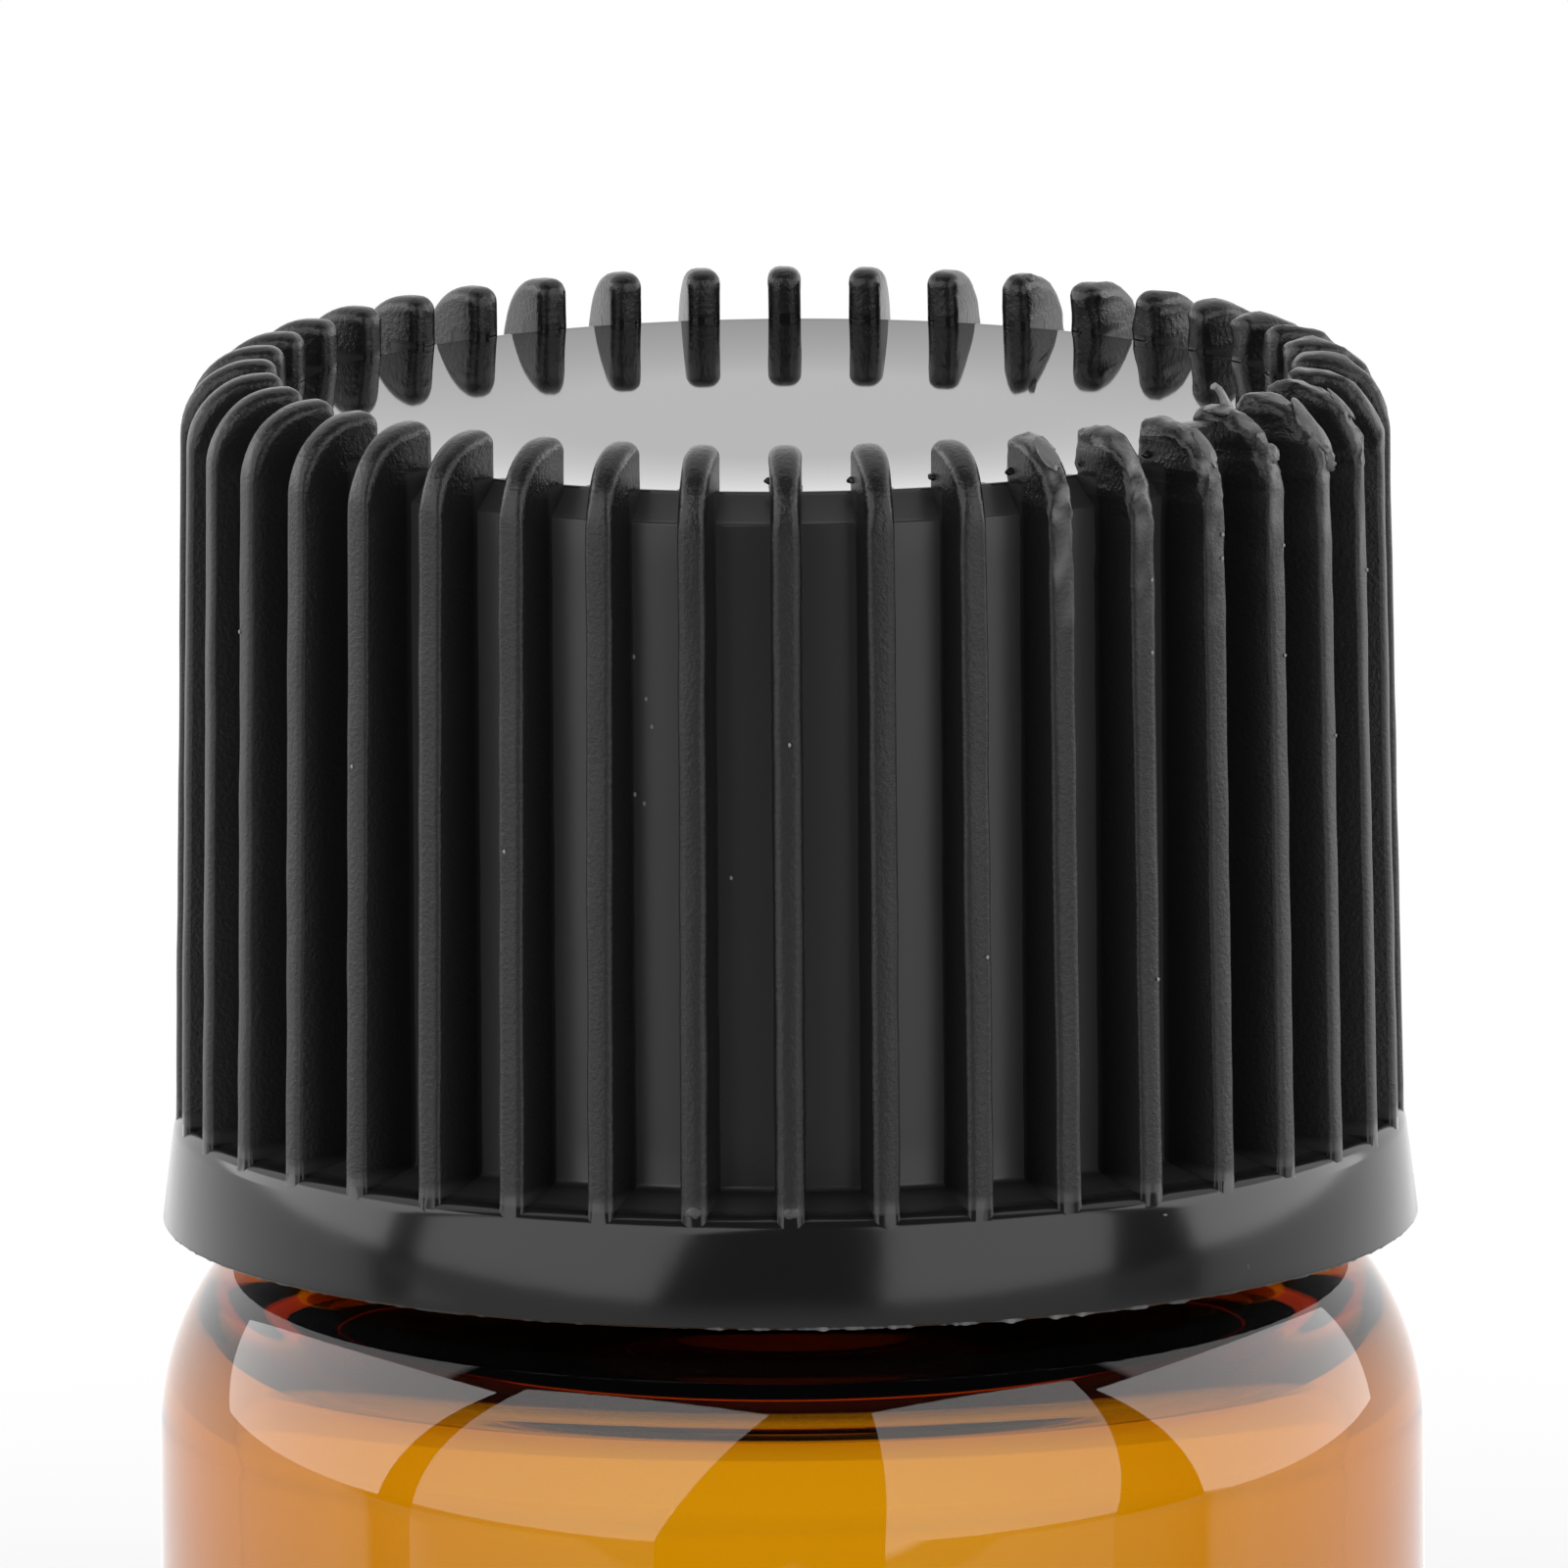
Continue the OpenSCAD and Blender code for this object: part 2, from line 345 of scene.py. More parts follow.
# %% Inside of the cap
MOUTH_CHAMFER = 0.3
CAP_TURNS = 1.5
THREAD_LAG = 0.63
ceiling_edge, mouth_edge = (cap_bore_r, cap_ceiling_z), (cap_bore_r, cap_z + MOUTH_CHAMFER)
cap_inside = (
    [(0, cap_ceiling_z)]
    + line((0, cap_ceiling_z), ceiling_edge, 1.5)
    + [ceiling_edge]
    + line(ceiling_edge, mouth_edge, ROW)
    + [mouth_edge]
)
cap_core = lathe(cap_outside + cap_inside, steps=320)
raise_thread(cap_core, cap_bore_r, -THREAD_DEPTH, thread_foot_z - THREAD_LAG, CAP_TURNS,
             low=cap_z + 0.4, high=cap_ceiling_z - 0.1)
print("The inside has", len(cap_inside), "points")

# %% [markdown]
# ## The grip ribs
#
# Forty ribs run up the skirt and stand above the flat top like battlements. One
# rib is a side view, extruded to its thickness, narrowed towards its outer face
# and bevelled all round, because a moulded edge is never sharp.
# It is cut into short rows, so that a little noise can make each rib slightly
# uneven, and then spun into all forty.

# %% Side view of a rib
RIBS = 40
RIB_STEP = 360 / RIBS
RIB_LEAN = 0.15
RIB_CORNER_R = 0.95
RIB_INNER_ROUND = 0.2
RIB_SUNK = 0.3
rib_foot_z = band_top_z - 0.35
rib_inner_r = flat_r - 0.05
rib_corner_x = rib_r - RIB_LEAN - RIB_CORNER_R
rib_corner_z = rib_top_z - RIB_CORNER_R
rib_outline = (
    [(cap_r - RIB_SUNK, rib_foot_z), (rib_r - 0.01, rib_foot_z)]
    + arc(rib_corner_x, rib_corner_z, RIB_CORNER_R, 0, 90, 12)
    + arc(rib_inner_r + RIB_INNER_ROUND, rib_top_z - RIB_INNER_ROUND, RIB_INNER_ROUND, 90, 180, 6)
    + [(rib_inner_r, top_z - 0.2), (cap_r - RIB_SUNK, top_z - 0.5)]
)
print("A rib's side view has", len(rib_outline), "points")

# %% One rib
RIB_FOOT_T = 0.42
RIB_FACE_T = 0.34
CREST_ROUND = 0.155
FACE_ROUND = 0.07


def make_rib():
    """One rib at the +X side. Its edges are marked with how round they are to be."""
    mesh = bmesh.new()
    places = [(x * MM, -RIB_FOOT_T / 2 * MM, z * MM) for x, z in rib_outline]
    side = mesh.faces.new([mesh.verts.new(place) for place in places])
    grown = bmesh.ops.extrude_face_region(mesh, geom=[side])["geom"]
    far = [item for item in grown if isinstance(item, bmesh.types.BMVert)]
    bmesh.ops.translate(mesh, verts=far, vec=(0, RIB_FOOT_T * MM, 0))
    bmesh.ops.recalc_face_normals(mesh, faces=mesh.faces)
    for vert in mesh.verts:
        share = clamp((vert.co.x / MM - cap_r) / (rib_r - cap_r))
        vert.co.y *= 1 + (RIB_FACE_T / RIB_FOOT_T - 1) * share
    weight = mesh.edges.layers.float.new("bevel_weight_edge")
    for edge in mesh.edges:
        middle = (edge.verts[0].co + edge.verts[1].co) / 2 / MM
        along = abs(middle.y) > RIB_FACE_T / 4
        showing = middle.x > cap_r or middle.z > top_z - 0.15
        if along and showing:
            crest = ease((middle.z - rib_corner_z) / 0.5)
            edge[weight] = (FACE_ROUND + (CREST_ROUND - FACE_ROUND) * crest) / CREST_ROUND
    return mesh


rib_blank = new_object("rib_blank", make_rib())
print("One rib has", len(rib_blank.data.polygons), "faces before it is rounded")


# %% Round the rib and cut it into rows
RIB_ROW = 0.25
CREST_ROW = 0.1


def applied(piece):
    """A piece's mesh with its modifiers applied."""
    bpy.context.view_layer.update()
    evaluated = piece.evaluated_get(bpy.context.evaluated_depsgraph_get())
    return bpy.data.meshes.new_from_object(evaluated)


def everything(mesh):
    """All the points, edges and faces of a bmesh."""
    return mesh.verts[:] + mesh.edges[:] + mesh.faces[:]


rounding = rib_blank.modifiers.new("rounding", "BEVEL")
rounding.limit_method = "WEIGHT"
rounding.width = CREST_ROUND * MM
rounding.segments = 4
rounding.use_clamp_overlap = False
ribs = bmesh.new()
ribs.from_mesh(applied(rib_blank))
bpy.data.objects.remove(rib_blank)
height = band_top_z
while height < rib_top_z - CREST_ROW:
    height += RIB_ROW if height < rib_corner_z - RIB_ROW else CREST_ROW
    bmesh.ops.bisect_plane(ribs, geom=everything(ribs), dist=1e-8,
                           plane_co=(0, 0, height * MM), plane_no=(0, 0, 1))
bmesh.ops.recalc_face_normals(ribs, faces=ribs.faces)
print("One rib has", len(ribs.faces), "faces")

# %% [markdown]
# The picture shows wear as well: from the third rib on the right and round to the
# back, the crests are torn and rough. A mask on angle and height makes the noise
# stronger there. Coarse noise bends the torn crests, and finer noise makes the
# ribs just under them ragged.
# Blender's noise vectors take their start from the clock, so a fixed seed makes
# every run the same.

# %% Forty ribs
quarter_back = Matrix.Rotation(-math.pi / 2, 3, "Z")
bmesh.ops.rotate(ribs, verts=ribs.verts, cent=(0, 0, 0), matrix=quarter_back)
bmesh.ops.spin(ribs, geom=everything(ribs), axis=(0, 0, 1), cent=(0, 0, 0),
               angle=math.tau * (RIBS - 1) / RIBS, steps=RIBS - 1, use_duplicate=True)
print("The ribs have", len(ribs.faces), "faces")

# %% Uneven and torn ribs
RIB_WOBBLE, RIB_SCALE = 0.012, Vector((2.2, 2.2, 1.1))
TORN_WOBBLE, TORN_SCALE = 0.045, 3.6
RAGGED_WOBBLE, RAGGED_SCALE = 0.035, 8.0
NOISE_SEED = 4


def azimuth_of(place):
    """Angle about the axis in degrees, 0 towards the camera and positive to the right."""
    return math.degrees(math.atan2(place.x, -place.y))


def between(azimuth, start, rise, end, fall):
    """A mask that is 1 between two angles and eases to 0 at both of them."""
    return ease((azimuth - start) / rise) * ease((end - azimuth) / fall)


def near_crest(z, below, rise):
    """A mask that rises to 1 over a stretch that starts below the ribs' corners."""
    return ease((z - rib_corner_z + below) / rise)


noise.seed_set(NOISE_SEED)
for vert in ribs.verts:
    place = vert.co / MM
    turned = azimuth_of(place)
    torn = between(turned, 20, 12, 165, 12) * near_crest(place.z, 0.3, 0.5)
    ragged = between(turned, 22, 8, 86, 12) * near_crest(place.z, 2.4, 2.4)
    vert.co += noise.noise_vector(place * RIB_SCALE) * RIB_WOBBLE * MM
    vert.co += noise.noise_vector(place * TORN_SCALE) * TORN_WOBBLE * torn * MM
    vert.co += noise.noise_vector(place * RAGGED_SCALE) * RAGGED_WOBBLE * ragged * MM
print("The third rib to the right is at", 3 * RIB_STEP, "degrees")

# %% Join the ribs to the cap
CAP_CREASE = 32
cap = finish_piece("ribbed_cap", cap_core, "cap", "screw_cap", CAP_CREASE)
rib_tool = new_object("rib_tool", ribs)
union = cap.modifiers.new("union", "BOOLEAN")
union.operation = "UNION"
union.solver = "MANIFOLD"
union.object = rib_tool
joined = applied(cap)
cap.modifiers.clear()
cap.data = joined
bpy.data.objects.remove(rib_tool)
print("The cap with its ribs has", len(joined.polygons), "faces")

# %% [markdown]
# ### Flash, burrs and tears
#
# Plastic that tears instead of breaking clean leaves flaps, hooks and specks.
# They could be sculpted by hand, but a list of places and sizes is easier to read
# and to change. Each lump is a ball of noise, stretched to size and sunk into the
# face that it grows from. On a crest, its place is a rib's number and an angle
# round the crest.
# A float attribute, "wear", marks torn plastic, and the material reads it to make
# that paler than moulded plastic.

# %% Tears on the crests: rib, degrees aside, angle round the crest, size
CREST_TEARS = [
    (3, 0.2, 58, (0.05, 0.12, 0.30)),
    (5, 0.5, 42, (0.05, 0.12, 0.30)),
    (6, -0.5, 84, (0.05, 0.16, 0.20)),
    (6, 0.4, 27, (0.09, 0.12, 0.15)),
    (7, 0.4, 38, (0.10, 0.17, 0.42)),
    (7, 0.9, 12, (0.14, 0.12, 0.17)),
    (7, 1.2, 5, (0.12, 0.05, 0.08)),
    (8, 0.5, 45, (0.04, 0.09, 0.25)),
    (17, -1.1, 92, (0.06, 0.05, 0.06)),
]
print(len(CREST_TEARS), "tears on the crests")

# %% A sheet between two ribs, and a hook: azimuth, height, distance, size
SHEET = (49.5, rib_top_z - 0.17, 6.72, (0.16, 0.40, 0.035))
HOOK = [
    (55.5, 34.85, 6.80, 0.085),
    (55.2, 34.98, 6.76, 0.07),
    (54.9, 35.10, 6.72, 0.055),
    (54.4, 35.20, 6.70, 0.045),
    (53.8, 35.26, 6.69, 0.038),
    (53.3, 35.24, 6.69, 0.03),
]
print("The hook rises to", max(place[1] for place in HOOK), "mm")

# %% Specks on the skirt and on the ribs' faces, and nicks in the band
WALL_SPECKS = [(-16.2, 32.32), (-14.9, 31.79), (-14.3, 31.44),
               (-16.2, 30.57), (-15.2, 30.46), (-6.0, 29.54)]
FACE_SPECKS = [
    (0, 0.2, 31.38), (4, 0.8, 33.17), (4, 0.7, 32.25), (7, 0.8, 30.69), (-7, -0.8, 32.11),
    (-5, -0.3, 30.74), (-3, -0.5, 29.9), (2, 0.8, 28.6), (5, 0.8, 33.6), (5, 0.7, 33.3),
    (6, 0.8, 33.3), (6, 0.7, 31.9), (8, 0.8, 32.6), (4, 0.8, 28.1),
]
BAND_NICKS = [
    (38.7, 24.20, (0.03, 0.05, 0.12)),
    (46.6, 24.19, (0.025, 0.02, 0.14)),
    (55.9, 24.14, (0.025, 0.02, 0.12)),
    (67.0, 24.3, (0.02, 0.05, 0.08)),
    (37.0, 25.1, (0.012, 0.05, 0.02)),
]
print(len(WALL_SPECKS) + len(FACE_SPECKS), "specks and", len(BAND_NICKS), "nicks")


# %% One lump
LARGE, SMALL = 3, 2


def add_lump(mesh, wear, amount, azimuth, height, distance, size, fineness=LARGE, tilt=0):
    """A ball of noise at one place on the cap.

    The size is outwards, across and up. A tilt leans the ball back by an angle.
    """
    ball = bmesh.ops.create_icosphere(mesh, subdivisions=fineness, radius=1.0)["verts"]
    turn = Matrix.Rotation(math.radians(azimuth - 90), 3, "Z")
    lean = Matrix.Rotation(math.radians(-tilt), 3, "Y")
    seed = Vector((azimuth, height, distance))
    for vert in ball:
        lump = 1 + 0.3 * noise.noise(vert.co * 1.2 + seed)
        lump += 0.15 * noise.noise(vert.co * 5 + seed)
        stretched = lean @ Vector([vert.co[i] * size[i] * lump for i in range(3)])
        vert.co = turn @ (stretched + Vector((distance, 0, height))) * MM
        vert[wear] = amount


print("A large lump has", 20 * 4 ** (LARGE - 1), "faces")

# %% Fray the crests on the right
TORN_WEAR = 0.35
HALF_FACE = 0.135
FRAY_SCALE = 4.5
details = bmesh.new()
details.from_mesh(joined)
wear = details.verts.layers.float.new("wear")
for vert in details.verts:
    place = vert.co / MM
    turned = azimuth_of(place)
    frayed = between(turned, 18, 10, 84, 12) * near_crest(place.z, 2.0, 2.0)
    radius = math.hypot(place.x, place.y)
    off_rib = abs((turned + RIB_STEP / 2) % RIB_STEP - RIB_STEP / 2)
    across = radius * math.radians(off_rib)
    if frayed > 0 and across < HALF_FACE and radius > flat_r + 0.1:
        patches = clamp(0.2 + 1.8 * noise.noise(place * FRAY_SCALE))
        vert[wear] = TORN_WEAR * frayed * patches
print(sum(vert[wear] > 0 for vert in details.verts), "points are frayed")

# %% Tears, sheet and hook
for rib, aside, angle, size in CREST_TEARS:
    out = math.radians(angle)
    reach = RIB_CORNER_R - 0.5 * size[0]
    height = rib_corner_z + reach * math.sin(out)
    distance = rib_corner_x + reach * math.cos(out)
    azimuth = rib * RIB_STEP + aside
    add_lump(details, wear, TORN_WEAR, azimuth, height, distance, size, tilt=angle)
add_lump(details, wear, 0.1, *SHEET)
for start, end in zip(HOOK, HOOK[1:]):
    for share in (0, 0.25, 0.5, 0.75):
        *place, size = [a + (b - a) * share for a, b in zip(start, end)]
        add_lump(details, wear, 0.8, *place, (size,) * 3, SMALL)
print("Tears added, the cap now has", len(details.faces), "faces")


# %% Specks, nicks, nibs and gate marks
SPECK_WEAR = 0.8
WALL_SPECK = (0.02, 0.022, 0.03)
FACE_SPECK = (0.018, 0.02, 0.028)
NIB = (0.06, 0.11, 0.055)
GATE_MARK = (0.02, 0.1, 0.07)


def face_distance(height):
    """How far from the axis the outer face of a rib is."""
    share = (height - band_top_z) / (rib_corner_z - band_top_z)
    return rib_r - 0.01 - (RIB_LEAN - 0.01) * share


for azimuth, height in WALL_SPECKS:
    add_lump(details, wear, SPECK_WEAR, azimuth, height, cap_r, WALL_SPECK, SMALL)
for rib, aside, height in FACE_SPECKS:
    azimuth = rib * RIB_STEP + aside
    add_lump(details, wear, SPECK_WEAR, azimuth, height, face_distance(height), FACE_SPECK, SMALL)
for azimuth, height, size in BAND_NICKS:
    distance = rib_r + 0.125 - 0.1 * (height - cap_z)
    add_lump(details, wear, 0.4, azimuth, height, distance, size)
for rib in range(-6, 7):
    azimuth = rib * RIB_STEP - 1.45
    add_lump(details, wear, 0.0, azimuth, top_z + 0.16, rib_inner_r + 0.2, NIB, SMALL)
for azimuth in (-RIB_STEP, 0):
    add_lump(details, wear, 0.1, azimuth, 25.44, rib_r - 0.012, GATE_MARK)
print("Lumps added, the cap now has", len(details.faces), "faces")

# %% [markdown]
# Flash is the thin fin that a mould leaves where its halves meet. Here it runs
# round the lower edge of the band and is ragged at the front. A strip of three
# points a step, closed into a tube, follows the edge, and noise sets how far it
# hangs down.

# %% Flash on the lower edge
FLASH_STEPS = 1000
FLASH_SHARE = 0.2
FLASH_LEAST, FLASH_MOST = 0.008, 0.04
FLASH_WEAR = 0.5
rows = []
for i in range(FLASH_STEPS):
    angle = math.tau * i / FLASH_STEPS
    ahead = Vector((math.sin(angle), -math.cos(angle), 0))
    front = between(azimuth_of(ahead), -18, 12, 48, 20)
    strong = FLASH_SHARE + (1 - FLASH_SHARE) * front
    ragged = noise.noise(ahead * 30) + 0.6 * noise.noise(ahead * 90)
    drop = FLASH_LEAST + FLASH_MOST * strong * max(0.0, 0.2 + ragged)
    strip = ((band_r - 0.1, cap_z + 0.01),
             (band_r - EDGE_ROUND + 0.02 * ragged, cap_z - drop),
             (band_r - 0.002, cap_z + 0.02))
    row = [details.verts.new((ahead * r + Vector((0, 0, z))) * MM) for r, z in strip]
    for vert in row:
        vert[wear] = FLASH_WEAR * strong ** 2 * clamp(0.4 + ragged)
    rows.append(row)
for row, following in zip(rows, rows[1:] + rows[:1]):
    for i in range(3):
        details.faces.new((row[i], row[i - 1], following[i - 1], following[i]))
details.to_mesh(joined)
details.free()
smooth(joined, CAP_CREASE)
print("Flash added")

# %% [markdown]
# ## The liner
#
# A disc of closed-cell foam lies against the ceiling of the cap and seals the rim
# of the bottle. It could be a plain cylinder, but foam is cut soft, so its section
# has a small arc at both edges. Its skin gets a fine grain from its material.

# %% Liner
SOFT = 0.12
low, high = liner_low[2], liner_high[2]
soft_x = liner_high[0] - SOFT
liner_outline = (
    [(0, low)]
    + line((0, low), (soft_x, low), 0.5)
    + arc(soft_x, low + SOFT, SOFT, -90, 0, 6)
    + arc(soft_x, high - SOFT, SOFT, 0, 90, 6)
    + line((soft_x, high), (0, high), 0.5)
    + [(0, high)]
)
liner_disc = lathe(liner_outline, 160)
liner = finish_piece("foam_liner", liner_disc, "liner", "cap_liner", 40)

# %% [markdown]
# ## Materials
#
# Each finish is a small node tree on one Principled shader. Patterns read Object
# coordinates, which are metres here, so a noise scale of 1000 means one lump to a
# millimetre.


# %% Node helpers
def new_material(name):
    """An empty material with one Principled shader on its output."""
    material = bpy.data.materials.new(name)
    material.use_nodes = True
    tree = material.node_tree
    tree.nodes.clear()
    output = tree.nodes.new("ShaderNodeOutputMaterial")
    shader = tree.nodes.new("ShaderNodeBsdfPrincipled")
    tree.links.new(shader.outputs["BSDF"], output.inputs["Surface"])
    return material, tree, shader, output


def add(tree, kind, **settings):
    """A node with its properties set."""
    node = tree.nodes.new(kind)
    for key, value in settings.items():
        setattr(node, key, value)
    return node


def feed(tree, value, socket):
    """Link an output to a socket, or set the socket to a plain number."""
    if isinstance(value, bpy.types.NodeSocket):
        tree.links.new(value, socket)
    else:
        socket.default_value = value


def combine(tree, operation, first, second):
    """A Math node with two inputs."""
    node = add(tree, "ShaderNodeMath", operation=operation)
    feed(tree, first, node.inputs[0])
    feed(tree, second, node.inputs[1])
    return node.outputs[0]


def remap(tree, value, from_low, from_high, to_low, to_high):
    """A clamped Map Range node."""
    node = add(tree, "ShaderNodeMapRange")
    feed(tree, value, node.inputs["Value"])
    numbers = {"From Min": from_low, "From Max": from_high, "To Min": to_low, "To Max": to_high}
    for name, number in numbers.items():
        feed(tree, number, node.inputs[name])
    return node.outputs[0]


def over(tree, value, low, high, start=0, end=1):
    """A number that goes from start to end over a stretch given in millimetres."""
    return remap(tree, value, low * MM, high * MM, start, end)


def blend(tree, mask, outside, inside):
    """A number that differs outside and inside a mask."""
    return remap(tree, mask, 0, 1, outside, inside)


def position(tree):
    """The Object coordinates, as a vector and as x, y and z."""
    place = add(tree, "ShaderNodeTexCoord").outputs["Object"]
    split = add(tree, "ShaderNodeSeparateXYZ")
    tree.links.new(place, split.inputs[0])
    return place, *split.outputs


def grain(tree, scale, detail=2.0, roughness=0.5):
    """Noise on Object coordinates, with scale in lumps per metre."""
    node = add(tree, "ShaderNodeTexNoise")
    tree.links.new(position(tree)[0], node.inputs["Vector"])
    node.inputs["Scale"].default_value = scale
    node.inputs["Detail"].default_value = detail
    node.inputs["Roughness"].default_value = roughness
    return node.outputs["Fac"]


def bump(tree, height, distance, strength, below=None):
    """A Bump node, which can lie on top of another one."""
    node = add(tree, "ShaderNodeBump")
    tree.links.new(height, node.inputs["Height"])
    feed(tree, distance, node.inputs["Distance"])
    feed(tree, strength, node.inputs["Strength"])
    if below is not None:
        tree.links.new(below, node.inputs["Normal"])
    return node.outputs["Normal"]


print("Node helpers are ready")

# %% [markdown]
# ### Amber glass
#
# Tinting the surface would colour thin and thick glass alike. Volume absorption
# is how real glass does it: each millimetre takes away some red, half the green
# and nearly all the blue, so thick places go brown and thin ones stay gold.

# %% Amber glass
glass, tree, shader, output = new_material("amber_glass")
AMBER = (0.938, 0.815, 0.0, 1)
AMBER_DENSITY = 3500.0
shader.inputs["Base Color"].default_value = (1, 1, 1, 1)
shader.inputs["Roughness"].default_value = 0.0
shader.inputs["IOR"].default_value = 1.5
shader.inputs["Transmission Weight"].default_value = 1.0
tint = add(tree, "ShaderNodeVolumeAbsorption")
tint.inputs["Color"].default_value = AMBER
tint.inputs["Density"].default_value = AMBER_DENSITY
tree.links.new(tint.outputs["Volume"], output.inputs["Volume"])
vial.data.materials.append(glass)
print("Glass material made")

# %% [markdown]
# ### Black plastic
#
# One material serves the whole cap, but its polish changes from place to place:
# the top and the band copied a polished mould, and the ribs a rougher one. The
# cap could have a material for each region, with seams between them. Masks on
# height and on distance from the axis need no seams, so they mix the roughness.
# Torn plastic is paler, and the "wear" attribute says where it is. The walls between
# the ribs get a lighter black than the rest, which is painted light, not a paler plastic.

# %% Where is what on the cap
plastic, tree, shader, output = new_material("black_plastic")
_, x, y, z = position(tree)
squares = combine(tree, "ADD", combine(tree, "MULTIPLY", x, x), combine(tree, "MULTIPLY", y, y))
radius = combine(tree, "SQRT", squares, 0)
out_of_skirt = over(tree, radius, cap_r + 0.03, cap_r + 0.1)
above_top = over(tree, z, top_z + 0.02, top_z + 0.08)
above_band = over(tree, z, band_top_z + 0.1, band_top_z + 0.2)
standing_out = combine(tree, "MAXIMUM", out_of_skirt, above_top)
on_rib = combine(tree, "MULTIPLY", standing_out, above_band)
near_tip = over(tree, z, rib_top_z - 1.1, rib_top_z - 0.7)
on_crest = combine(tree, "MULTIPLY", on_rib, near_tip)
on_band = over(tree, z, band_top_z - 0.02, band_top_z + 0.02, 1, 0)
on_disc = over(tree, radius, flat_r + 0.02, flat_r + 0.04, 1, 0)
band_or_disc = combine(tree, "MAXIMUM", on_band, on_disc)
on_wall = combine(tree, "SUBTRACT", 1, combine(tree, "MAXIMUM", band_or_disc, on_rib))
print("Masks made for the ribs, crests, band, disc and wall")

# %% Polish, colour and painted wall light of the cap
DISC_ROUGH, BAND_ROUGH = 0.03, 0.15
WALL_EXTRA, RIB_EXTRA, CREST_EXTRA = 0.27, 0.39, -0.14
# The walls' lighter black is painted light: the same plastic, made paler to stand in for light on
# them.
BLACK, WALL_BLACK_PAINTED_LIGHTER, WORN_PALER = 0.007, 0.025, 0.24
rough = blend(tree, on_band, DISC_ROUGH, BAND_ROUGH)
for mask, extra in ((on_wall, WALL_EXTRA), (on_rib, RIB_EXTRA), (on_crest, CREST_EXTRA)):
    rough = combine(tree, "ADD", rough, blend(tree, mask, 0, extra))
tree.links.new(rough, shader.inputs["Roughness"])
worn = add(tree, "ShaderNodeAttribute", attribute_name="wear").outputs["Fac"]
# Base colour: lighter on the walls as painted light, and paler where the plastic is worn.
wear_and_painted_wall_light = combine(tree, "ADD", blend(tree, on_wall, BLACK, WALL_BLACK_PAINTED_LIGHTER),
                blend(tree, worn, 0, WORN_PALER))
tree.links.new(wear_and_painted_wall_light, shader.inputs["Base Color"])
shader.inputs["IOR"].default_value = 1.5
shader.inputs["Specular IOR Level"].default_value = 0.34
print("The ribs have a roughness of", round(DISC_ROUGH + RIB_EXTRA, 2))

# %% Waves and grain of the cap
WAVES_PER_M, WAVE_HEIGHT = 1200, 0.006
GRAINS_PER_M, GRAIN_HEIGHT = 16000, 0.014
off_disc = combine(tree, "SUBTRACT", 1, on_disc)
waves = combine(tree, "MULTIPLY", grain(tree, WAVES_PER_M), off_disc)
grains = combine(tree, "MULTIPLY", grain(tree, GRAINS_PER_M, 3.0, 0.6), on_rib)
wavy = bump(tree, waves, WAVE_HEIGHT * MM, 0.4)
tree.links.new(bump(tree, grains, GRAIN_HEIGHT * MM, 0.8, wavy), shader.inputs["Normal"])
cap.data.materials.clear()
cap.data.materials.append(plastic)
print("Plastic material made")

# %% Liner foam
foam, tree, shader, output = new_material("liner_foam")
cells = grain(tree, 9000, 4.0, 0.7)
shader.inputs["Base Color"].default_value = (0.86, 0.86, 0.83, 1)
shader.inputs["Roughness"].default_value = 0.55
tree.links.new(bump(tree, cells, 0.02 * MM, 0.5), shader.inputs["Normal"])
liner.data.materials.append(foam)
print("Foam material made")

# %% [markdown]
# ## Floor and backdrop
#
# The studio is white all round except in front, where the camera and its dark
# room are. The floor is a plain pale disc. A curved paper backdrop could be
# modelled, but it is enough that the floor fades into white far from the vial,
# for the camera and for what is seen through glass.
# Polished plastic mirrors what lies in front of the vial too: a pale table that
# ends at an edge, with the dark room behind it. So a ray that comes off the cap
# and lands far away meets that table, or goes through the floor into the dark.

# %% Floor
FLOOR_R = 2000.0
floor_mesh = bmesh.new()
bmesh.ops.create_circle(floor_mesh, cap_ends=True, segments=96, radius=FLOOR_R * MM)
floor = new_object("floor", floor_mesh)
print("Floor is", 2 * FLOOR_R * MM, "m across")


# %% Helpers for rays and shaders
def ray_kinds(tree):
    """Masks for rays from the camera or through glass, and for rays off a mirror."""
    ray = add(tree, "ShaderNodeLightPath")
    through = ray.outputs["Is Transmission Ray"]
    seen = combine(tree, "MAXIMUM", ray.outputs["Is Camera Ray"], through)
    mirrored = combine(tree, "GREATER_THAN", ray.outputs["Is Glossy Ray"], through)
    return seen, mirrored


def mix_shaders(tree, share, first, second):
    """The first shader, turning into the second as the share goes from 0 to 1."""
    node = add(tree, "ShaderNodeMixShader")
    for socket, value in zip(node.inputs, (share, first, second)):
        tree.links.new(value, socket)
    return node.outputs[0]


print("Helpers for rays and shaders are ready")

# %% Floor paper that fades to white
FADE_START, FADE_END = 45, 120
paper, tree, shader, output = new_material("floor_paper")
shader.inputs["Base Color"].default_value = (0.8, 0.8, 0.8, 1)
shader.inputs["Roughness"].default_value = 0.7
shader.inputs["Specular IOR Level"].default_value = 0.2
place, x, y, _ = position(tree)
length = add(tree, "ShaderNodeVectorMath", operation="LENGTH")
tree.links.new(place, length.inputs[0])
distance = length.outputs["Value"]
far = over(tree, distance, FADE_START, FADE_END)
far.node.interpolation_type = "SMOOTHSTEP"
seen, mirrored = ray_kinds(tree)
white = add(tree, "ShaderNodeEmission").outputs[0]
far_and_seen = combine(tree, "MULTIPLY", seen, far)
fading = mix_shaders(tree, far_and_seen, shader.outputs["BSDF"], white)
print("Floor fades from", FADE_START, "to", FADE_END, "mm")

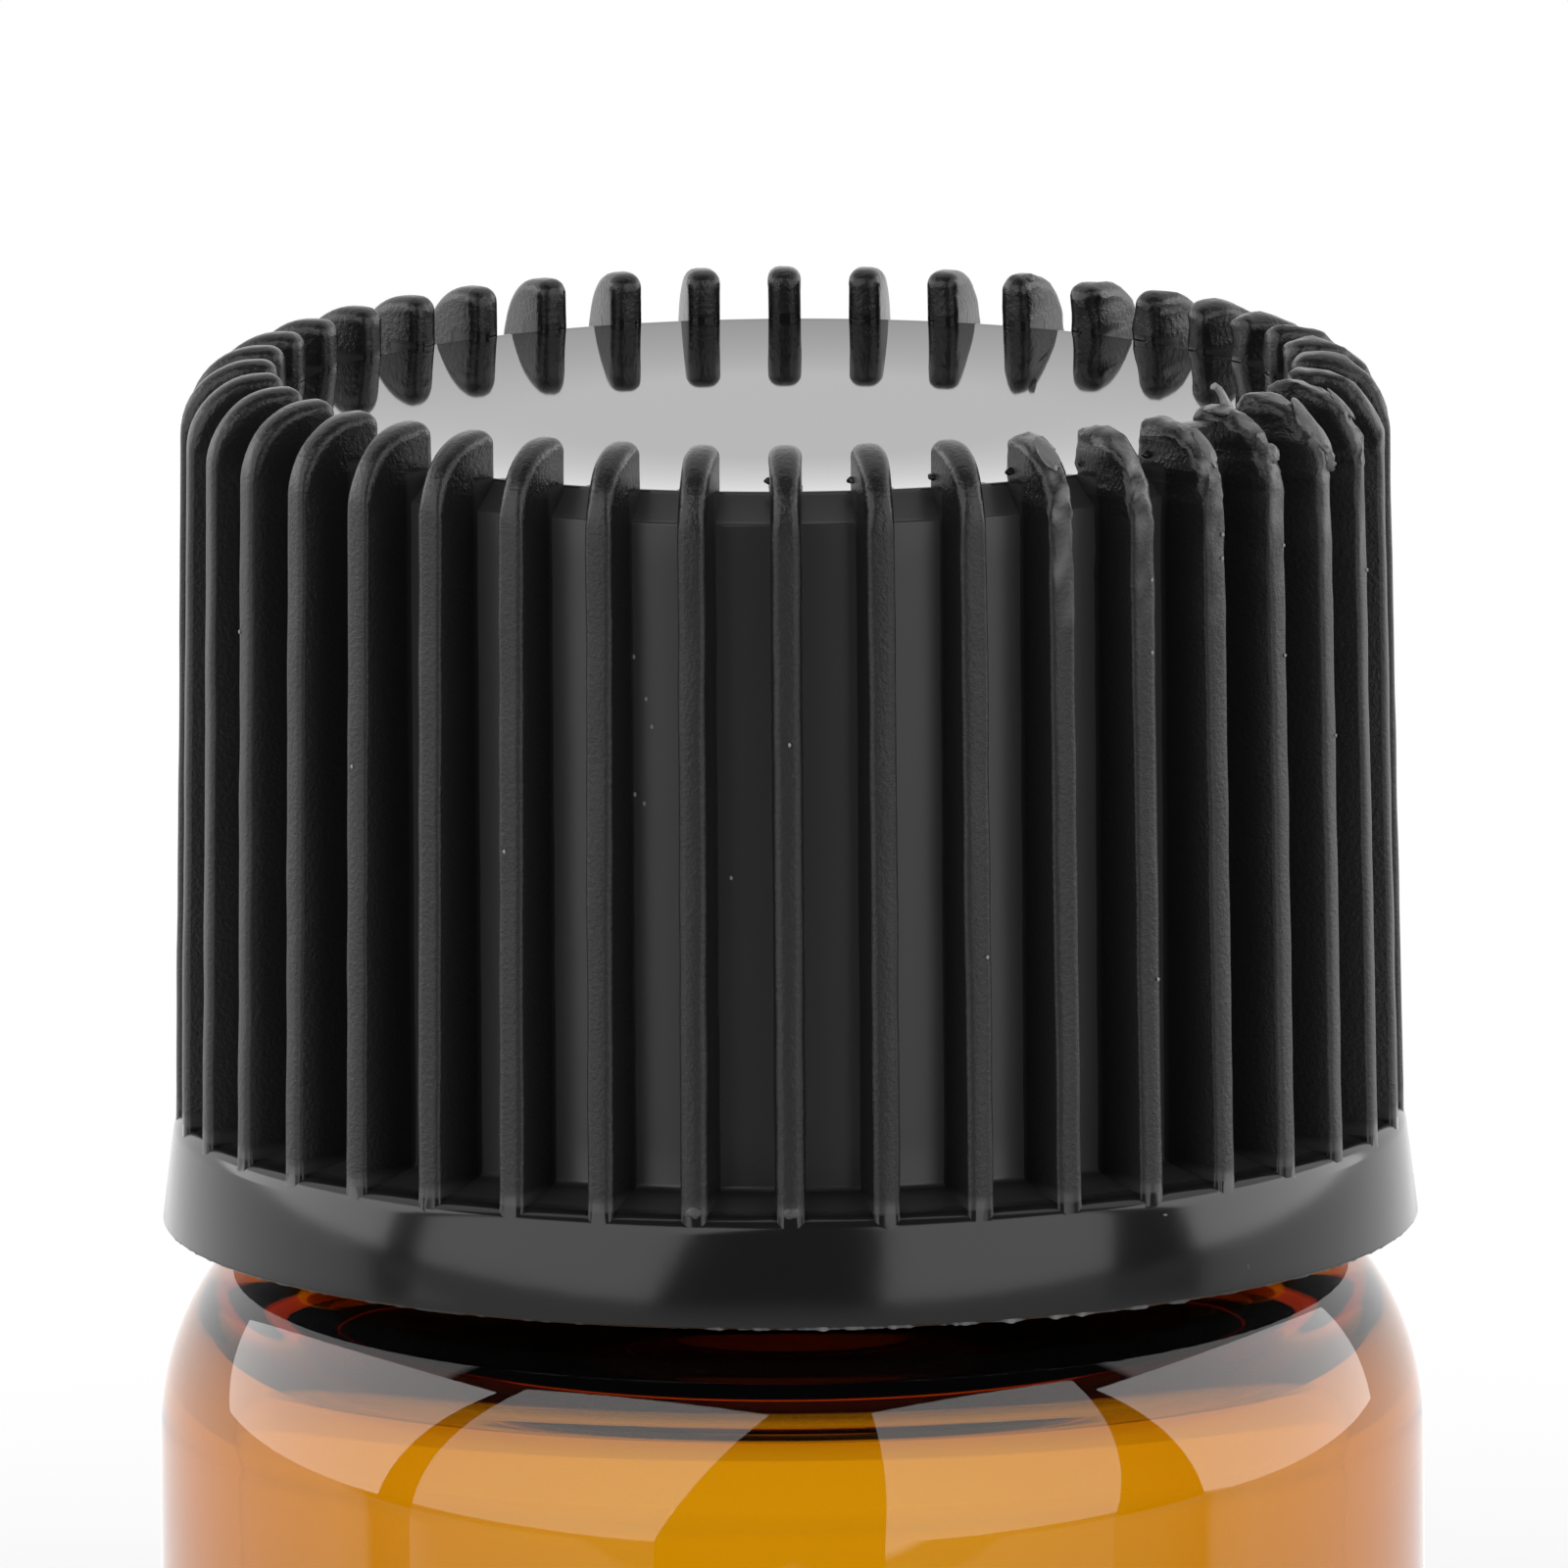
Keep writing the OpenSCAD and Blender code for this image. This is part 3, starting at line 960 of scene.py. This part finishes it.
# %% Table in front, for mirrored rays
TABLE_EDGE = (122, 124)
TABLE_START = (80, 100)
FRONT = (0, 50)
EDGE_SLANT, TABLE_SHARE = 0.13, 0.87
LIP_SLANT, TABLE_GLOW = 0.30, 0.47
aside = combine(tree, "ABSOLUTE", x, 0)
ahead = combine(tree, "MULTIPLY", y, -1)


def up_to_edge(slant, inside):
    """A number that drops to 0 at the table's edge, which slants back at both sides."""
    reach = combine(tree, "ADD", ahead, combine(tree, "MULTIPLY", aside, slant))
    return over(tree, reach, *TABLE_EDGE, inside, 0)


sheen = add(tree, "ShaderNodeEmission")
tree.links.new(up_to_edge(LIP_SLANT, TABLE_GLOW), sheen.inputs["Strength"])
clear = add(tree, "ShaderNodeBsdfTransparent").outputs[0]
on_table = combine(tree, "MULTIPLY", over(tree, ahead, *FRONT), up_to_edge(EDGE_SLANT, TABLE_SHARE))
table = mix_shaders(tree, on_table, clear, sheen.outputs[0])
beyond = combine(tree, "MULTIPLY", mirrored, over(tree, distance, *TABLE_START))
tree.links.new(mix_shaders(tree, beyond, fading, table), output.inputs["Surface"])
floor.data.materials.append(paper)
print("The mirrored table ends", TABLE_EDGE[0], "mm in front of the vial")

# %% [markdown]
# ## Light
#
# Two tall softboxes stand left and right of the camera and lean over the vial.
# Their long reflections draw the ribs, the band and the shoulder. Two more sheets
# at the sides show only as reflections, near the edges of the cap and the glass.
# Area lamps would give the same light, but a glowing mesh can have any outline,
# and its outline is what the glass shows. Each corner is an angle from the
# camera's side, a distance and a height.

# %% Where the panels are
PANELS = {
    "softbox_left": (2.5, (-26.5, 430, -90), (-74.5, 400, -85), (-62, 300, 295), (-5, 328, 325)),
    "softbox_right": (2.5, (16.5, 543, -120), (59.5, 350, -72), (66.5, 290, 290), (17.5, 363, 355)),
    "side_left": (3.6, (-80, 300, 4), (-125, 300, 35), (-137, 300, 109), (-67, 300, 262)),
    "side_right": (3.6, (79.5, 300, -5), (132, 300, 25), (136, 300, 126), (68.5, 300, 252)),
}
print("Panels:", ", ".join(PANELS))


# %% Panels
def around(azimuth, distance, height):
    """A point at an angle from the camera's side, to the right where positive."""
    angle = math.radians(azimuth)
    return Vector((math.sin(angle) * distance, -math.cos(angle) * distance, height))


def panel(name, places, radiance):
    """A four-cornered sheet that shines on the side that faces the vial."""
    mesh = bmesh.new()
    face = mesh.faces.new([mesh.verts.new(place * MM) for place in places])
    face.normal_update()
    if face.normal.dot(face.calc_center_median()) > 0:
        face.normal_flip()
    sheet = new_object(name, mesh)
    material, tree, shader, output = new_material(name)
    tree.nodes.remove(shader)
    back = add(tree, "ShaderNodeNewGeometry").outputs["Backfacing"]
    glow = add(tree, "ShaderNodeEmission")
    front = combine(tree, "SUBTRACT", 1, back)
    tree.links.new(combine(tree, "MULTIPLY", radiance, front), glow.inputs["Strength"])
    tree.links.new(glow.outputs[0], output.inputs["Surface"])
    sheet.data.materials.append(material)
    sheet.visible_camera = False
    sheet.visible_transmission = False
    return sheet


for name, (radiance, *places) in PANELS.items():
    sheet = panel(name, [around(*place) for place in places], radiance)
    sheet.visible_diffuse = name.startswith("softbox")
    print(name, "has a radiance of", radiance)

# %% [markdown]
# ### The room
#
# The world stands for the white room. What the camera sees, or sees through the
# glass, is plain white. Matt surfaces get a little less light from it, and
# mirrors see it brighter behind the vial and nearly black in front.

# %% World
DARK_AXIS = math.radians(-1)
DARK_EDGE = (0.1, 0.14)
WHITE_BEHIND, DARK_AHEAD = 1.6, 0.04
MATT_LIGHT = 0.75
world = bpy.data.worlds.new("studio")
bpy.context.scene.world = world
world.use_nodes = True
tree = world.node_tree
tree.nodes.clear()
output = add(tree, "ShaderNodeOutputWorld")
sky = add(tree, "ShaderNodeBackground")
tree.links.new(sky.outputs[0], output.inputs[0])
facing = add(tree, "ShaderNodeVectorMath", operation="DOT_PRODUCT")
tree.links.new(add(tree, "ShaderNodeTexCoord").outputs["Generated"], facing.inputs[0])
facing.inputs[1].default_value = (math.sin(DARK_AXIS), -math.cos(DARK_AXIS), 0)
room = remap(tree, facing.outputs["Value"], *DARK_EDGE, WHITE_BEHIND, DARK_AHEAD)
seen, mirrored = ray_kinds(tree)
light = add(tree, "ShaderNodeMix")
tree.links.new(mirrored, light.inputs["Factor"])
light.inputs[2].default_value = MATT_LIGHT
tree.links.new(room, light.inputs[3])
strength = combine(tree, "MAXIMUM", seen, light.outputs[0])
tree.links.new(strength, sky.inputs["Strength"])
print("World made")

# %% Finish
bpy.context.scene.view_settings.view_transform = "Standard"
